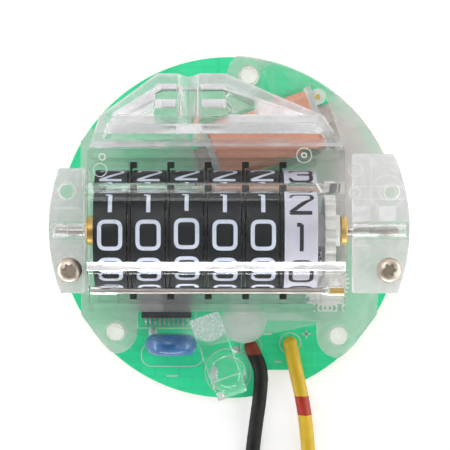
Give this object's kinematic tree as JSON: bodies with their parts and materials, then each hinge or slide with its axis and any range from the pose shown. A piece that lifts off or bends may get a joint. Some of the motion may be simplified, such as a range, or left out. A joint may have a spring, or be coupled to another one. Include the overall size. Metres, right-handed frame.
{
  "type": "hour meter movement",
  "caption": "Round hour meter movement: number drums behind a clear window, driven by a stepper motor and worm on a circuit board with leads.",
  "frame": {"origin": "centre of the circuit board's circle, on its back face", "axes": "+X along the number shaft to the right, +Y up the face, +Z out of the face"},
  "size_m": [0.069, 0.0804, 0.0246],
  "materials": {
    "board": "green solder mask",
    "clear": "clear",
    "frosted": "frosted clear",
    "nylon": "natural",
    "black_plastic": "gloss",
    "white_plastic": "satin",
    "steel": "turned",
    "iron": "plain",
    "nickel": "plated",
    "brass": "turned",
    "copper": "enamelled wire",
    "tin": "tinned",
    "blue": "epoxy",
    "chip": "moulded",
    "black_wire": "smooth",
    "yellow_wire": "smooth"
  },
  "bodies": {
    "frame": {"circuit_board": "board", "back_plate": "clear", "left_shaft_cap": "frosted", "right_shaft_cap": "frosted", "left_cap_screw": "nickel", "right_cap_screw": "nickel", "number_shaft": "steel", "left_bush": "brass", "right_washer": "brass", "rotor_pin": "steel", "stator": "iron", "coil_bobbin": "nylon", "bobbin_pin_1": "brass", "bobbin_pin_2": "brass", "coil_winding": "copper", "coil_core": "iron", "front_cover": "clear", "retaining_rod": "steel", "rod_plug": "brass", "light_hood": "clear", "light_pipe": "clear", "controller_chip": "chip", "quartz_crystal": "steel", "surge_disc": "blue", "indicator_lamp": "clear", "black_lead": "black_wire", "black_lead_end": "tin", "yellow_lead": "yellow_wire", "yellow_lead_end": "tin", "pinion_carrier_1": "black_plastic", "pinion_carrier_2": "black_plastic", "pinion_carrier_3": "black_plastic", "pinion_carrier_4": "black_plastic", "pinion_carrier_5": "black_plastic"},
    "tenths": {"drive_gear": "nylon", "tenths_drum": "white_plastic"},
    "worm": {"worm_shaft": "nylon"},
    "rotor": {"rotor_pinion": "nylon", "rotor_magnet": "iron"},
    "drum_1": {"number_drum_1": "black_plastic"},
    "pinion_1": {"transfer_pinion_1": "nylon"},
    "drum_2": {"number_drum_2": "black_plastic"},
    "pinion_2": {"transfer_pinion_2": "nylon"},
    "drum_3": {"number_drum_3": "black_plastic"},
    "pinion_3": {"transfer_pinion_3": "nylon"},
    "drum_4": {"number_drum_4": "black_plastic"},
    "pinion_4": {"transfer_pinion_4": "nylon"},
    "drum_5": {"number_drum_5": "black_plastic"},
    "pinion_5": {"transfer_pinion_5": "nylon"}
  },
  "joints": [
    {"name": "tenths_spin", "type": "hinge", "parent": "frame", "child": "tenths", "pos_m": [0.00941, -0.0004, 0.014], "axis": [1, 0, 0], "continuous": true},
    {"name": "drum_5_spin", "type": "hinge", "parent": "frame", "child": "drum_5", "pos_m": [0.00439, -0.0004, 0.014], "axis": [1, 0, 0], "continuous": true},
    {"name": "pinion_5_spin", "type": "hinge", "parent": "frame", "child": "pinion_5", "pos_m": [0.0069, -0.0004, 0.00966], "axis": [1, 0, 0], "continuous": true},
    {"name": "drum_4_spin", "type": "hinge", "parent": "frame", "child": "drum_4", "pos_m": [-0.00061, -0.0004, 0.014], "axis": [1, 0, 0], "continuous": true},
    {"name": "pinion_4_spin", "type": "hinge", "parent": "frame", "child": "pinion_4", "pos_m": [0.00189, -0.0004, 0.00966], "axis": [1, 0, 0], "continuous": true},
    {"name": "drum_3_spin", "type": "hinge", "parent": "frame", "child": "drum_3", "pos_m": [-0.00562, -0.0004, 0.014], "axis": [1, 0, 0], "continuous": true},
    {"name": "pinion_3_spin", "type": "hinge", "parent": "frame", "child": "pinion_3", "pos_m": [-0.00312, -0.0004, 0.00966], "axis": [1, 0, 0], "continuous": true},
    {"name": "drum_2_spin", "type": "hinge", "parent": "frame", "child": "drum_2", "pos_m": [-0.01064, -0.0004, 0.014], "axis": [1, 0, 0], "continuous": true},
    {"name": "pinion_2_spin", "type": "hinge", "parent": "frame", "child": "pinion_2", "pos_m": [-0.00813, -0.0004, 0.00966], "axis": [1, 0, 0], "continuous": true},
    {"name": "drum_1_spin", "type": "hinge", "parent": "frame", "child": "drum_1", "pos_m": [-0.01564, -0.0004, 0.014], "axis": [1, 0, 0], "continuous": true},
    {"name": "pinion_1_spin", "type": "hinge", "parent": "frame", "child": "pinion_1", "pos_m": [-0.01314, -0.0004, 0.00966], "axis": [1, 0, 0], "continuous": true},
    {"name": "worm_spin", "type": "hinge", "parent": "frame", "child": "worm", "pos_m": [0.01336, -0.00775, 0.01], "axis": [0, 0, 1], "continuous": true},
    {"name": "rotor_spin", "type": "hinge", "parent": "frame", "child": "rotor", "pos_m": [0.01336, -0.00375, 0.003], "axis": [0, 0, 1], "continuous": true}
  ],
  "couplings": [
    {"joint": "drum_5_spin", "follows": "tenths_spin", "ratio": 0.1},
    {"joint": "pinion_5_spin", "follows": "tenths_spin", "ratio": 0.33333},
    {"joint": "drum_4_spin", "follows": "tenths_spin", "ratio": 0.01},
    {"joint": "pinion_4_spin", "follows": "tenths_spin", "ratio": 0.033333},
    {"joint": "drum_3_spin", "follows": "tenths_spin", "ratio": 0.001},
    {"joint": "pinion_3_spin", "follows": "tenths_spin", "ratio": 0.0033333},
    {"joint": "drum_2_spin", "follows": "tenths_spin", "ratio": 0.0001},
    {"joint": "pinion_2_spin", "follows": "tenths_spin", "ratio": 0.00033333},
    {"joint": "drum_1_spin", "follows": "tenths_spin", "ratio": 0.00001},
    {"joint": "pinion_1_spin", "follows": "tenths_spin", "ratio": 0.000033333},
    {"joint": "worm_spin", "follows": "tenths_spin", "ratio": 25},
    {"joint": "rotor_spin", "follows": "tenths_spin", "ratio": -100}
  ]
}
